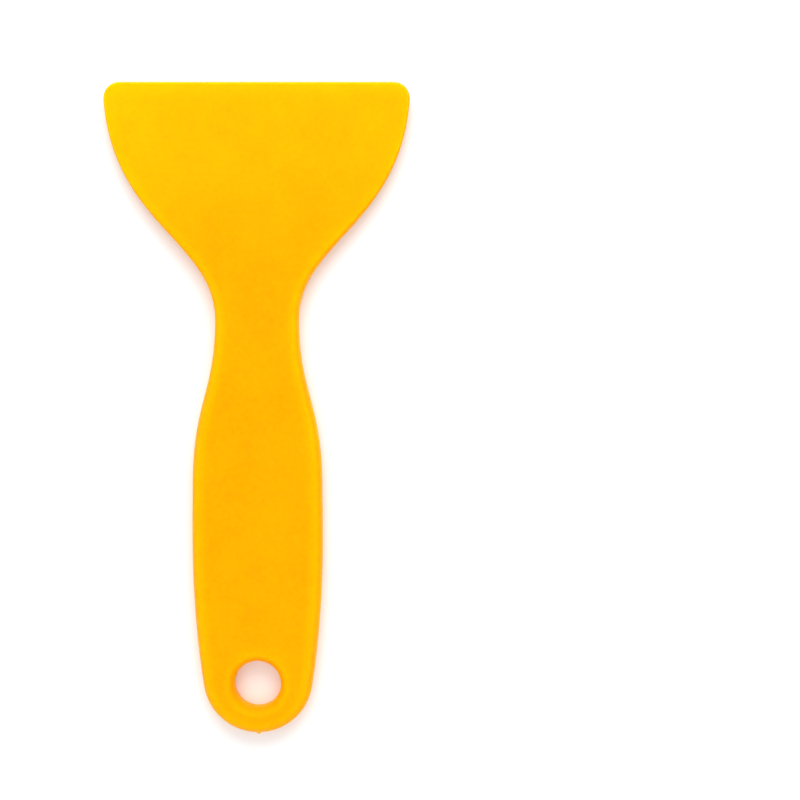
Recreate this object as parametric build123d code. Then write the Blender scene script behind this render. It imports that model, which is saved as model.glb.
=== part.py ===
from build123d import *
import os

# A one-piece moulded squeegee applicator, lying on the flat underside of its grip, in millimetres.
# +Y points from the grip to the working edge, +X to the right and +Z up through the thickness.
# The origin is under the middle of the whole outline, on the plane of the grip's underside.
# Both faces taper alike, so the thin working edge is held off the surface at mid-thickness.

# Driving dimensions
body_length = 125.0      # working edge to the round end of the grip
grip_thickness = 4.0
edge_thickness = 0.9     # at the working edge

# Outline: how far each place is from the working edge, and half its width there
blade_half = 29.2
blade_corner = 3.0       # plan radius of the blade's two corners
neck_from_edge = 45.0
neck_half = 8.0
grip_from_edge = 77.5
grip_half = 12.5
round_end_radius = 10.6
round_end_turn = 9.0     # degrees that the round end stops short of a half circle, on each side

# Outline: how far each curve holds the direction it has at its two ends
blade_hold = (26.7, 15.5)
swell_hold = (14.0, 17.0)
side_hold = (4.0, 18.0)

# Side profile, the same above and below: a flat grip, a long arc, then a straight taper
arc_from_edge = 60.0
taper_from_edge = 21.0

# Edge rounding, growing from the tip to the grip
tip_depth = 4.0          # stretch behind the working edge that has the tip's rounding
tip_rounding = 0.38
grip_rounding = 1.8

# Hang hole
hole_radius = 4.5
hole_from_edge = 115.4
hole_lip = 1.4           # rounding of the hole's two rims

# Trimmed gate on the round end, a small point
gate_height = 0.45
gate_foot = 2.0
gate_tip = 0.5
gate_thickness = 1.2

# The grip's lofted underside isn't an exact plane, so the body is made this much too deep and cut flat.
flattening = 0.005

edge_y = (body_length + gate_height) / 2
sheet = 2 * body_length
arc_run = arc_from_edge - taper_from_edge
arc_radius = arc_run * (arc_run / 2 + taper_from_edge) / (grip_thickness - edge_thickness)


def at(from_edge):
    """Y of the line across the body that is this far from the working edge."""
    return edge_y - from_edge


def thickness(y):
    """Thickness of the body."""
    from_edge = edge_y - y
    into_arc = min(max(arc_from_edge - from_edge, 0), arc_run)
    into_taper = max(taper_from_edge - from_edge, 0)
    return grip_thickness - (into_arc**2 / 2 + into_taper * arc_run) / arc_radius


def upper(y):
    """Height of the upper face."""
    return (grip_thickness + thickness(y)) / 2


def lower(y):
    """Height of the lower face before the grip's underside is cut flat."""
    return (grip_thickness - thickness(y)) / 2 - flattening


def rounding(y):
    """Radius of the long edges."""
    share = (edge_y - y - tip_depth) / (arc_from_edge - tip_depth)
    return tip_rounding + (grip_rounding - tip_rounding) * min(share, 1)


def blade_side():
    """The right side of the outline, from the working edge to the neck."""
    start = Vector(blade_half, edge_y)
    end = Vector(neck_half, at(neck_from_edge))
    return Bezier(start, start - (0, blade_hold[0]), end + (0, blade_hold[1]), end)


def swell_side():
    """The right side of the outline, from the neck to the grip."""
    start = Vector(neck_half, at(neck_from_edge))
    end = Vector(grip_half, at(grip_from_edge))
    return Bezier(start, start - (0, swell_hold[0]), end + (0, swell_hold[1]), end)


def round_end():
    """The end of the outline, a little less than a half circle."""
    centre = (0, at(body_length) + round_end_radius)
    return CenterArc(centre, round_end_radius, -round_end_turn, 2 * round_end_turn - 180)


def grip_side(end_arc):
    """The right side of the outline, from the grip to the round end."""
    start = Vector(grip_half, at(grip_from_edge))
    end = end_arc @ 0
    before_end = end - (end_arc % 0) * side_hold[1]
    return Bezier(start, start - (0, side_hold[0]), before_end, end)


def symmetric_face(right_side, *rest):
    """A flat face between a right side and its mirror image."""
    left_side = [mirror(curve, Plane.YZ) for curve in right_side]
    start = Line(left_side[0] @ 0, right_side[0] @ 0)
    sides = [start, *right_side, *rest, *left_side]
    if not rest:
        sides.append(Line(left_side[-1] @ 1, right_side[-1] @ 1))
    return make_face(sides)


def rims(solid, joint_y):
    """The edges round the upper and lower faces, apart from those on the joint."""
    level = [edge for edge in solid.edges() if edge.bounding_box().size.Z < 0.5]
    return [edge for edge in level if abs(edge.center().Y - joint_y) > 0.01]


def blade_tip():
    """The stretch behind the working edge, with the blade's two corners."""
    joint_y = at(tip_depth)
    side = blade_side()
    joint = Line((0, joint_y), (blade_half, joint_y))
    corner = side.intersect(joint)[0]
    plan = symmetric_face([side.trim(0, side.param_at_point(corner))])
    plan = fillet(plan.vertices().group_by(Axis.Y)[-1], blade_corner)
    block = extrude(plan, grip_thickness)
    profile = Polyline(
        (joint_y, lower(joint_y)),
        (edge_y, lower(edge_y)),
        (edge_y, upper(edge_y)),
        (joint_y, upper(joint_y)),
        close=True,
    )
    tip = block & extrude(Plane.YZ * make_face(profile), sheet, both=True)
    return fillet(rims(tip, joint_y), tip_rounding)


def grip_end():
    """The stretch from the grip's widest place to its round end, with the hang hole."""
    joint_y = at(grip_from_edge)
    end_arc = round_end()
    plan = symmetric_face([grip_side(end_arc)], end_arc)
    block = Pos(0, 0, -flattening) * extrude(plan, grip_thickness + flattening)
    block = fillet(rims(block, joint_y), grip_rounding)
    block -= Pos(0, at(hole_from_edge), 0) * Cylinder(hole_radius, sheet)
    circles = block.edges().filter_by(GeomType.CIRCLE)
    mouths = [circle for circle in circles if abs(circle.radius - hole_radius) < 0.001]
    return fillet(mouths, hole_lip)


def section(place):
    """The rounded cross-section of the body at a place on the right side of its outline."""
    top = upper(place.Y)
    bottom = lower(place.Y)
    plane = Plane((0, place.Y, (top + bottom) / 2), x_dir=(1, 0, 0), z_dir=(0, -1, 0))
    return plane * RectangleRounded(2 * place.X, top - bottom, rounding(place.Y))


def middle(tip, end):
    """The fan, the neck and the first half of the grip, lofted between the other two stretches."""
    first = tip.faces().sort_by(Axis.Y)[0]
    last = end.faces().sort_by(Axis.Y)[-1]
    blade_places = [blade_side() @ share for share in (0.16, 0.28, 0.4, 0.52, 0.64, 0.76, 0.88, 1)]
    swell_places = [swell_side() @ share for share in (0.2, 0.4, 0.6, 0.72, 0.84)]
    between = [section(place) for place in blade_places + swell_places]
    return loft([first, *between, last])


def gate():
    """The trimmed gate on the round end, with its foot sunk into the body."""
    end_y = at(body_length)
    tip_y = end_y - gate_height
    foot_y = end_y + gate_height
    half_foot = gate_foot / 2
    half_tip = gate_tip / 2
    corners = [(-half_foot, foot_y), (-half_foot, end_y), (-half_tip, tip_y)]
    mirrored = [(-x, y) for x, y in reversed(corners)]
    plan = make_face(Polyline(*corners, *mirrored, close=True))
    return Pos(0, 0, (grip_thickness - gate_thickness) / 2) * extrude(plan, gate_thickness)


def squeegee_body():
    tip = blade_tip()
    end = grip_end()
    body = tip + middle(tip, end) + end + gate()
    below = Pos(0, 0, -grip_thickness) * Box(sheet, sheet, 2 * grip_thickness)
    return body - below


os.makedirs("parts", exist_ok=True)
export_step(squeegee_body(), "parts/squeegee_body.step")
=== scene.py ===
import math
import bmesh
import bpy
from mathutils import Matrix, Vector
from mathutils.geometry import interpolate_bezier


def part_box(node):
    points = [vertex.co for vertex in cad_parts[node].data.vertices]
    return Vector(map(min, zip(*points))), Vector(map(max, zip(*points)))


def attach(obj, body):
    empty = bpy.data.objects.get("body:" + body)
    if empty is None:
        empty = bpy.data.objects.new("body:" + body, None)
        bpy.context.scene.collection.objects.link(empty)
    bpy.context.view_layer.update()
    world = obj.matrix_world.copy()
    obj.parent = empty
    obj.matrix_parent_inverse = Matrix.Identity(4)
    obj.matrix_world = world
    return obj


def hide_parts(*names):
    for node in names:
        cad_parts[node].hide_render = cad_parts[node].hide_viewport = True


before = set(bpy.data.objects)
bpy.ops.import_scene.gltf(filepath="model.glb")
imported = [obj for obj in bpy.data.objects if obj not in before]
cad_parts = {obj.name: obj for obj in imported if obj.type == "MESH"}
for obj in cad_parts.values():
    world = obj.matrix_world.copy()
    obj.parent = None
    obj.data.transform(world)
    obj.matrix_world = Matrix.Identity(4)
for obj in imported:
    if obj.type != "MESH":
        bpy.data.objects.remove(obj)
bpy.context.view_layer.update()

mm = 0.001

# the squeegee, in mm; "back" is how far a place lies from the working edge
squeegee = {
    "length": 125.0,
    "gripThick": 4.0,
    "edgeThick": 0.9,
    "bladeHalf": 29.2,
    "cornerRadius": 3.0,
    "cornerGap": 0.15,           # from the end of a corner's arc to the next place on the blade's side
    "neckHalf": 8.0, "neckBack": 45.0,
    "gripHalf": 12.5, "gripBack": 77.5,
    "endRadius": 10.6,
    "endShort": 9.0,             # degrees short of a half circle, each side
    "bladeHold": (26.7, 15.5),   # how far each curve keeps the direction of its two ends
    "swellHold": (14.0, 17.0),
    "sideHold": (4.0, 18.0),
    "arcBack": 60.0,             # both faces bend towards each other from here
    "taperBack": 21.0,           # and run straight from here to the edge
    "tipDepth": 4.0,
    "tipRound": 0.38,
    "gripRound": 1.8,
    "holeRadius": 4.5, "holeBack": 115.4, "holeLip": 1.4,
    "ringBack": 103.0,           # from here the faces run round the hang hole
    "ringShares": (0.3, 0.65, 1),
    "flatStrip": 0.2,            # kept beside each rounded edge, so the flat faces shade flat
    "weld": 0.002,               # vertices closer than this become one
    "cornerSteps": 10, "bladeSteps": 70, "swellSteps": 32, "sideSteps": 40, "endSteps": 30,
    "roundSteps": 10,
    "columns": 16,
}

# the trimmed gate, a small point on the round end, in mm
gate = {
    "footHalf": 0.8, "footThick": 1.1,
    "footReach": 1.0,            # how far from the round end its foot may lie
    "length": 0.42,
    "narrowing": (0.7, 0.45),    # what each half of its length leaves of its width
    "lean": 0.15,                # the snipped tip leans to the right
}

# what the station layer holds on vertices that aren't on the outline
inSheet = -1
roundHole = -2


def bezier(knot, handle, otherHandle, otherKnot, count):
    return [p.to_2d() for p in interpolate_bezier(knot, handle, otherHandle, otherKnot, count + 1)]


def arc(middle, radius, fromTurn, toTurn, count):
    turns = [math.radians(fromTurn + (toTurn - fromTurn) * i / count) for i in range(count + 1)]
    return [middle + radius * Vector((math.cos(turn), math.sin(turn))) for turn in turns]


def rightSide(q):
    # from the blade's corner to the round end, as half width and back
    radius = q["cornerRadius"]
    neck = (q["neckHalf"], q["neckBack"])
    grip = (q["gripHalf"], q["gripBack"])
    blade = bezier((q["bladeHalf"], 0), (q["bladeHalf"], q["bladeHold"][0]),
                   (neck[0], neck[1] - q["bladeHold"][1]), neck, q["bladeSteps"])
    blade = [p for p in blade if p.y > radius + q["cornerGap"]]
    corner = arc(Vector((blade[0].x - radius, radius)), radius, -90, 0, q["cornerSteps"])
    swell = bezier(neck, (neck[0], neck[1] + q["swellHold"][0]),
                   (grip[0], grip[1] - q["swellHold"][1]), grip, q["swellSteps"])
    end = arc(Vector((0, q["length"] - q["endRadius"])), q["endRadius"], q["endShort"], 90, q["endSteps"])
    lean = math.radians(q["endShort"])
    beforeEnd = end[0] - q["sideHold"][1] * Vector((-math.sin(lean), math.cos(lean)))
    side = bezier(grip, (grip[0], grip[1] + q["sideHold"][0]), beforeEnd, end[0], q["sideSteps"])
    return corner + blade + swell[1:] + side[1:] + end[1:]


def edgeRound(q, back):
    # the radius of the rounded edges
    share = (back - q["tipDepth"]) / (q["arcBack"] - q["tipDepth"])
    return q["tipRound"] + (q["gripRound"] - q["tipRound"]) * min(max(share, 0), 1)


def taper(q, back):
    # how far each face lies in from the grip's own faces
    run = q["arcBack"] - q["taperBack"]
    radius = run * (run / 2 + q["taperBack"]) / (q["gripThick"] - q["edgeThick"])
    intoArc = min(max(q["arcBack"] - back, 0), run)
    intoTaper = max(q["taperBack"] - back, 0)
    return (intoArc**2 / 2 + intoTaper * run) / radius / 2


def outline(q):
    # down the right side, up the left side and back along the working edge;
    # each station is a place, its outward direction and its edge rounding
    right = rightSide(q)
    left = [Vector((-p.x, p.y)) for p in reversed(right[:-1])]
    front = [Vector((right[0].x * (2 * c / q["columns"] - 1), 0)) for c in range(1, q["columns"])]
    places = right + left + front
    stations = []
    for i, place in enumerate(places):
        along = places[(i + 1) % len(places)] - places[i - 1]
        out = Vector((along.y, -along.x)).normalized() if place.y > 0 else Vector((0, -1))
        stations.append((place, out, edgeRound(q, place.y)))
    endStation = len(right) - 1   # the middle of the round end
    return stations, endStation


def growLoop(bm, edges, place):
    # pulls a new loop out of a loop of edges, and place() says where each new vertex goes
    made = bmesh.ops.extrude_edge_only(bm, edges=edges)["geom"]
    verts = {g for g in made if isinstance(g, bmesh.types.BMVert)}
    for v in verts:
        v.co = place(v)
    return [g for g in made if isinstance(g, bmesh.types.BMEdge) and verts.issuperset(g.verts)]


def flatSheet(bm, q, stations, endStation, ringRow):
    # a grid from the working edge to the ring's first row, then a ring round the hang hole
    station = bm.verts.layers.int["station"]
    ring = bm.verts.layers.int["ring"]
    rim = bm.verts.layers.float["rim"]
    columns = q["columns"]
    rimPlace = [place - (radius + q["flatStrip"]) * out for place, out, radius in stations]
    for v in bmesh.ops.create_grid(bm, x_segments=columns, y_segments=ringRow, size=1)["verts"]:
        row = round((1 + v.co.y) / 2 * ringRow)
        column = round((1 + v.co.x) / 2 * columns)
        if column == columns:
            v[station] = row
        elif column == 0:
            v[station] = 2 * endStation - row
        elif row == 0:
            v[station] = 2 * endStation + column
        else:
            v[station] = inSheet
        v[rim] = 1 if v[station] >= 0 else 0
        v.co = Vector((v.co.x * rimPlace[row].x, rimPlace[row].y, 0))

    # the ring's outer loop follows the round end, then comes back along the row
    onOutline = range(ringRow, 2 * endStation - ringRow + 1)
    outer = [rimPlace[i] for i in onOutline]
    outer += [Vector((outer[0].x * (2 * c / columns - 1), outer[0].y)) for c in range(1, columns)]
    tags = [*onOutline] + [inSheet] * (columns - 1)
    hole = Vector((0, q["holeBack"]))
    lipRadius = q["holeRadius"] + q["holeLip"] + q["flatStrip"]
    inner = [hole + lipRadius * (p - hole).normalized() for p in outer]
    circle = bmesh.ops.create_circle(bm, segments=len(outer), radius=1)["verts"]
    for i, v in enumerate(circle):
        v[station] = tags[i]
        v[ring] = i
        v[rim] = 1 if v[station] >= 0 else 0
        v.co = outer[i].to_3d()

    # each share is how far in towards the hole the ring's next loop lies
    loop = [e for e in bm.edges if e.is_wire]
    for share in q["ringShares"]:
        loop = growLoop(bm, loop, lambda v: outer[v[ring]].lerp(inner[v[ring]], share).to_3d())
        for e in loop:
            for v in e.verts:
                v[station] = roundHole
                v[rim] = 1 if share == 1 else 0
    bmesh.ops.remove_doubles(bm, verts=bm.verts, dist=q["weld"])


def roundedLoops(q, inset, radius):
    # how far in and how high each loop of a rounded wall lies, from the upper face down to the underside
    turns = [math.pi / 2 * i / q["roundSteps"] for i in range(q["roundSteps"] + 1)]
    lower = [(radius * (1 - math.sin(turn)), inset + radius * (1 - math.cos(turn))) for turn in turns]
    upper = [(depth, q["gripThick"] - height) for depth, height in lower]
    return upper + lower[::-1] + [(radius + q["flatStrip"], inset)]


def pullGate(bm, q, g):
    # a patch of the end wall, pulled out twice and drawn in each time
    middle = q["gripThick"] / 2
    foot = q["length"] - g["footReach"]

    def inFoot(v):
        return abs(v.co.x) < g["footHalf"] and v.co.y > foot and abs(v.co.z - middle) < g["footThick"] / 2

    patch = [f for f in bm.faces if all(inFoot(v) for v in f.verts)]
    for step, share in enumerate(g["narrowing"], 1):
        pulled = bmesh.ops.extrude_face_region(bm, geom=patch)["geom"]
        bmesh.ops.delete(bm, geom=patch, context="FACES")
        patch = [p for p in pulled if isinstance(p, bmesh.types.BMFace)]
        level = q["length"] + g["length"] * step / len(g["narrowing"])
        for v in {v for f in patch for v in f.verts}:
            v.co = Vector((v.co.x * share + g["lean"], level, middle + (v.co.z - middle) * share))


def makeSqueegee(q, g, edgeY):
    stations, endStation = outline(q)
    ringRow = next(i for i, (place, out, radius) in enumerate(stations) if place.y > q["ringBack"])
    bm = bmesh.new()
    station = bm.verts.layers.int.new("station")   # the vertex's place in the outline
    bm.verts.layers.int.new("ring")                # its place in the loops round the hang hole
    bm.verts.layers.float.new("rim")               # 1 along the edges, which the plastic's colour follows with a painted band of light
    flatSheet(bm, q, stations, endStation, ringRow)

    # the sheet becomes the upper face, and its copy the underside
    upperVerts = bm.verts[:]
    rims = [e for e in bm.edges if e.is_boundary]
    for v in upperVerts:
        v.co.z = taper(q, v.co.y)
    bmesh.ops.duplicate(bm, geom=bm.verts[:] + bm.edges[:] + bm.faces[:])
    for v in upperVerts:
        v.co.z = q["gripThick"] - v.co.z
    holeRim = [e for e in rims if all(v[station] == roundHole for v in e.verts)]
    outerRim = [e for e in rims if e not in holeRim]

    # the walls are grown down from the upper face, loop by loop
    def besideOutline(v, step):
        place, out, radius = stations[v[station]]
        depth = roundedLoops(q, 0, radius)[step][0]
        spot = place - depth * out
        return Vector((spot.x, spot.y, roundedLoops(q, taper(q, spot.y), radius)[step][1]))

    hole = Vector((0, q["holeBack"], 0))

    def besideHole(v, step):
        depth, height = roundedLoops(q, 0, q["holeLip"])[step]
        away = Vector((v.co.x, v.co.y, 0)) - hole
        return hole + (q["holeRadius"] + depth) * away.normalized() + Vector((0, 0, height))

    for step in range(len(roundedLoops(q, 0, 0))):
        outerRim = growLoop(bm, outerRim, lambda v: besideOutline(v, step))
        holeRim = growLoop(bm, holeRim, lambda v: besideHole(v, step))
    bmesh.ops.remove_doubles(bm, verts=bm.verts, dist=q["weld"])
    bmesh.ops.recalc_face_normals(bm, faces=bm.faces)

    pullGate(bm, q, g)

    # from half width and back to the frame's own axes
    bmesh.ops.scale(bm, vec=(mm, -mm, mm), verts=bm.verts)
    bmesh.ops.translate(bm, vec=(0, edgeY, 0), verts=bm.verts)
    bmesh.ops.recalc_face_normals(bm, faces=bm.faces)
    for f in bm.faces:
        f.smooth = True
    mesh = bpy.data.meshes.new("squeegeeBody")
    bm.to_mesh(mesh)
    bm.free()
    piece = bpy.data.objects.new("squeegeeBody", mesh)
    bpy.context.scene.collection.objects.link(piece)
    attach(piece, "root")
    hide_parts("squeegee_body")
    return piece


# the plastic, with lengths in mm; it looks deep amber where it is thick and paler where it thins out, with
# painted light and shade laid into its colour as well
amber = {
    "deep": (0.98, 0.32, 0.0, 1),
    "pale": (0.99, 0.52, 0.0, 1),
    "shade": 0.41,                 # from deep, 0, to pale, 1, on the grip
    # soft clouding, fine mottling, and a few specks, some pale and some deep
    "cloudSize": 7.0, "cloudDetail": 3, "cloudPaler": 0.06,
    "mottleSize": 0.84, "mottleDetail": 1, "mottlePaler": 0.05,
    "speckApart": 13.0, "speckSize": 0.2, "speckSoft": 0.5, "speckPaler": 0.5, "speckKinds": (0.3, 0.7),
    # painted light, paler: towards the working edge, where the tapered face tilts to the light and the thin
    # plastic lets light through, on the last stretch before it, and out to the left of the middle
    "bladePaintedLight": 0.34, "bladeFrom": 42.0, "bladeTo": -8.0,
    "tipPaintedLight": 0.25, "tipFrom": 4.0, "tipTo": 0.0,
    "leftPaintedLight": 0.12, "sideFrom": 8.0, "sideTo": 26.0,
    # a painted glow in a band inside the edges, where light comes through the plastic, and painted shade
    # where a rounded edge leans over
    "rimPaintedGlow": 0.12, "rimFrom": 0.3,
    "wallPaintedShade": 0.45, "flatLevel": 0.985, "wallLevel": 0.6,
    # painted light on the steep walls, painted shade on the blade's thin ones, and painted shade on the
    # hang hole's lip, by its radius
    "wallPaintedLight": 0.2, "wallFrom": 0.9, "wallTo": 0.3,
    "flankPaintedShade": 1.6,
    "borePaintedShade": 0.3, "boreFrom": 5.9, "boreTo": 5.2,
    # the surface
    "grainSize": 0.28, "grainDetail": 2, "grainDepth": 0.02, "grainStrength": 0.5,
    "roughSize": 14.0, "roughDetail": 4, "roughness": (0.42, 0.56),
    "ior": 1.49, "specular": 0.25, "specularTint": (1.0, 0.62, 0.05, 1),
    # how far light spreads inside, which is further where the plastic is thick
    "scatter": 1.0, "scatterGrip": 5.0, "scatterBlade": 1.2, "scatterColor": (0.6, 0.9, 0.05),
}


def addNode(material, kind, inputs=None, **settings):
    # adds a shader node; an input takes a value, or the socket that feeds it
    tree = material.node_tree
    node = tree.nodes.new("ShaderNode" + kind)
    for name, value in settings.items():
        setattr(node, name, value)
    for name, value in (inputs or {}).items():
        if isinstance(value, bpy.types.NodeSocket):
            tree.links.new(value, node.inputs[name])
        else:
            node.inputs[name].default_value = value
    return node


def fade(material, value, start, end, low=0.0, high=1.0):
    # goes smoothly from low to high while value goes from start to end
    node = addNode(material, "MapRange", {"Value": value, "From Min": start, "From Max": end,
                                          "To Min": low, "To Max": high}, interpolation_type="SMOOTHSTEP")
    return node.outputs["Result"]


def total(material, *values):
    result = values[0]
    for value in values[1:]:
        result = addNode(material, "Math", {0: result, 1: value}, operation="ADD").outputs["Value"]
    return result


def product(material, value, other):
    return addNode(material, "Math", {0: value, 1: other}, operation="MULTIPLY").outputs["Value"]


def noise(material, place, size, detail, low=-1.0, high=1.0):
    # size is the width of its patches in mm; returns values from about low to about high
    node = addNode(material, "TexNoise", {"Vector": place, "Scale": 1 / (size * mm), "Detail": detail})
    usual = (0.3, 0.7)   # most of the texture's own values lie between these
    return fade(material, node.outputs["Fac"], *usual, low, high)


def distanceRound(material, place, axis):
    # how far a place lies from an upright axis
    away = addNode(material, "VectorMath", {0: place, 1: axis}, operation="SUBTRACT").outputs["Vector"]
    away = addNode(material, "VectorMath", {0: away, 1: (1, 1, 0)}, operation="MULTIPLY").outputs["Vector"]
    return addNode(material, "VectorMath", {0: away}, operation="LENGTH").outputs["Value"]


def specks(material, a, place):
    cells = addNode(material, "TexVoronoi", {"Vector": place, "Scale": 1 / (a["speckApart"] * mm)},
                    voronoi_dimensions="2D").outputs
    radius = a["speckSize"] / a["speckApart"] / 2
    speck = fade(material, cells["Distance"], radius * (1 + a["speckSoft"]), radius * (1 - a["speckSoft"]))
    kind = addNode(material, "SeparateColor", {"Color": cells["Color"]}).outputs["Red"]
    kind = fade(material, kind, *a["speckKinds"], -a["speckPaler"], a["speckPaler"])
    return product(material, speck, kind)


def amberPlastic(a, edgeY, hole):
    material = bpy.data.materials.new("amberPlastic")
    material.use_nodes = True
    place = addNode(material, "TexCoord").outputs["Object"]
    axes = addNode(material, "SeparateXYZ", {"Vector": place}).outputs

    def paler(amount, fromBack, toBack):
        return fade(material, axes["Y"], edgeY - fromBack * mm, edgeY - toBack * mm, 0.0, amount)

    # painted light: the blade's left side lighter than its right
    side = fade(material, axes["X"], -a["sideFrom"] * mm, -a["sideTo"] * mm, 0.0, a["leftPaintedLight"])
    # painted glow: a paler band inside the edges, as light coming through the plastic
    edge = addNode(material, "Attribute", attribute_name="rim").outputs["Fac"]
    rim = fade(material, edge, a["rimFrom"], 1.0, 0.0, a["rimPaintedGlow"])

    # how far the surface leans over: 1 on the flats, 0 on the walls
    facing = addNode(material, "NewGeometry").outputs["Normal"]
    level = addNode(material, "SeparateXYZ", {"Vector": facing}).outputs["Z"]
    level = addNode(material, "Math", {0: level}, operation="ABSOLUTE").outputs["Value"]
    # painted shade where the surface leans over, which also takes the painted glow off the walls
    wallShade = fade(material, level, a["flatLevel"], a["wallLevel"], 0.0, -a["rimPaintedGlow"] - a["wallPaintedShade"])

    # painted light makes steep walls a little paler on the grip, and painted shade makes them much deeper
    # round the thin blade
    steep = fade(material, level, a["wallFrom"], a["wallTo"])
    bladeFlankShade = paler(-a["flankPaintedShade"] - a["wallPaintedLight"], a["bladeFrom"], 0)
    flankLightAndShade = product(material, steep, total(material, bladeFlankShade, a["wallPaintedLight"]))

    # painted shade: a deeper ring on the lip of the hang hole
    fromHole = distanceRound(material, place, hole)
    boreShade = fade(material, fromHole, a["boreFrom"] * mm, a["boreTo"] * mm, 0.0, -a["borePaintedShade"])
    boreShade = product(material, boreShade, level)

    cloudRange = (a["shade"] - a["cloudPaler"], a["shade"] + a["cloudPaler"])
    cloud = noise(material, place, a["cloudSize"], a["cloudDetail"], *cloudRange)
    mottle = noise(material, place, a["mottleSize"], a["mottleDetail"], -a["mottlePaler"], a["mottlePaler"])
    pale = total(
        material, cloud, mottle, specks(material, a, place), side, rim, wallShade, flankLightAndShade, boreShade,
        # painted light, paler towards the working edge where the tapered face tilts to the light and thin
        # plastic lets light through
        paler(a["bladePaintedLight"], a["bladeFrom"], a["bladeTo"]),
        # painted light along the thin working edge
        paler(a["tipPaintedLight"], a["tipFrom"], a["tipTo"]))
    color = addNode(material, "Mix", {"Factor": pale, "A": a["deep"], "B": a["pale"]}, data_type="RGBA")

    grain = noise(material, place, a["grainSize"], a["grainDetail"])
    bump = addNode(material, "Bump", {"Height": grain, "Strength": a["grainStrength"],
                                      "Distance": a["grainDepth"] * mm})
    roughness = noise(material, place, a["roughSize"], a["roughDetail"], *a["roughness"])
    scatterRange = (a["scatterGrip"] * mm, a["scatterBlade"] * mm)
    scatter = fade(material, axes["Y"], edgeY - a["bladeFrom"] * mm, edgeY, *scatterRange)

    shader = material.node_tree.nodes["Principled BSDF"]
    link = material.node_tree.links.new
    link(color.outputs["Result"], shader.inputs["Base Color"])
    link(bump.outputs["Normal"], shader.inputs["Normal"])
    link(roughness, shader.inputs["Roughness"])
    link(scatter, shader.inputs["Subsurface Scale"])
    shader.inputs["IOR"].default_value = a["ior"]
    shader.inputs["Specular IOR Level"].default_value = a["specular"]
    shader.inputs["Specular Tint"].default_value = a["specularTint"]
    shader.inputs["Subsurface Weight"].default_value = a["scatter"]
    shader.inputs["Subsurface Radius"].default_value = a["scatterColor"]
    return material


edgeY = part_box("squeegee_body")[1].y
hole = (0, edgeY - squeegee["holeBack"] * mm, 0)
body = makeSqueegee(squeegee, gate, edgeY)
print("squeegee made,", len(body.data.polygons), "faces")
body.data.materials.append(amberPlastic(amber, edgeY, hole))
print("amber plastic on")

# the table, a sheet of white paper, in metres
paper = {
    "halfSize": 1.5,
    "under": 0.00002,      # just clear of the squeegee's underside
    "color": (0.93, 0.93, 0.93, 1), "roughness": 0.9, "specular": 0.1,
}


def makePaper(p):
    bm = bmesh.new()
    bmesh.ops.create_grid(bm, x_segments=1, y_segments=1, size=p["halfSize"])
    bmesh.ops.translate(bm, vec=(0, 0, -p["under"]), verts=bm.verts)
    mesh = bpy.data.meshes.new("paper")
    bm.to_mesh(mesh)
    bm.free()
    material = bpy.data.materials.new("paper")
    material.use_nodes = True
    shader = material.node_tree.nodes["Principled BSDF"]
    shader.inputs["Base Color"].default_value = p["color"]
    shader.inputs["Roughness"].default_value = p["roughness"]
    shader.inputs["Specular IOR Level"].default_value = p["specular"]
    mesh.materials.append(material)
    sheet = bpy.data.objects.new("paper", mesh)
    bpy.context.scene.collection.objects.link(sheet)


makePaper(paper)
print("paper laid")

# a white studio, and one soft light from beyond the working edge, in metres and watts
studio = {
    "worldColor": (1, 1, 1, 1), "worldStrength": 1.0,
    "place": (0.06, 0.9, 0.6), "size": (1.0, 0.6), "watts": 8.3,
}


def makeLight(s):
    scene = bpy.context.scene
    scene.world = bpy.data.worlds.new("studio")
    scene.world.use_nodes = True
    sky = scene.world.node_tree.nodes["Background"]
    sky.inputs["Color"].default_value = s["worldColor"]
    sky.inputs["Strength"].default_value = s["worldStrength"]
    light = bpy.data.lights.new("softbox", "AREA")
    light.shape = "RECTANGLE"
    light.size, light.size_y = s["size"]
    light.energy = s["watts"]
    lamp = bpy.data.objects.new("softbox", light)
    lamp.location = s["place"]
    lamp.rotation_euler = (-Vector(s["place"])).to_track_quat("-Z", "Y").to_euler()
    scene.collection.objects.link(lamp)
    scene.view_settings.view_transform = "Standard"   # so that the paper stays white


makeLight(studio)
print("light up")

# the camera looks almost straight down, with lengths in mm and angles in degrees
view = {
    "lens": 60.0, "sensor": 36.0, "clipStart": 10.0,
    "target": (27.4, 2.44, 2.0), "distance": 255.7,
    "towardsEdge": 3.11, "towardsRight": 0.81,   # how far it stands off the upright
    "roll": -0.158,
}


def makeCamera(v):
    data = bpy.data.cameras.new("camera")
    data.lens = v["lens"]
    data.sensor_width = v["sensor"]
    data.clip_start = v["clipStart"] * mm
    camera = bpy.data.objects.new("camera", data)
    x = math.sin(math.radians(v["towardsRight"]))
    y = math.sin(math.radians(v["towardsEdge"]))
    away = Vector((x, y, math.sqrt(1 - x * x - y * y)))
    up = Vector((0, 1, 0)) - away.y * away
    up = Matrix.Rotation(math.radians(-v["roll"]), 3, away) @ up.normalized()
    camera.matrix_world = Matrix((up.cross(away), up, away)).transposed().to_4x4()
    camera.location = (Vector(v["target"]) + v["distance"] * away) * mm
    bpy.context.scene.collection.objects.link(camera)
    bpy.context.scene.camera = camera


makeCamera(view)
print("camera placed")
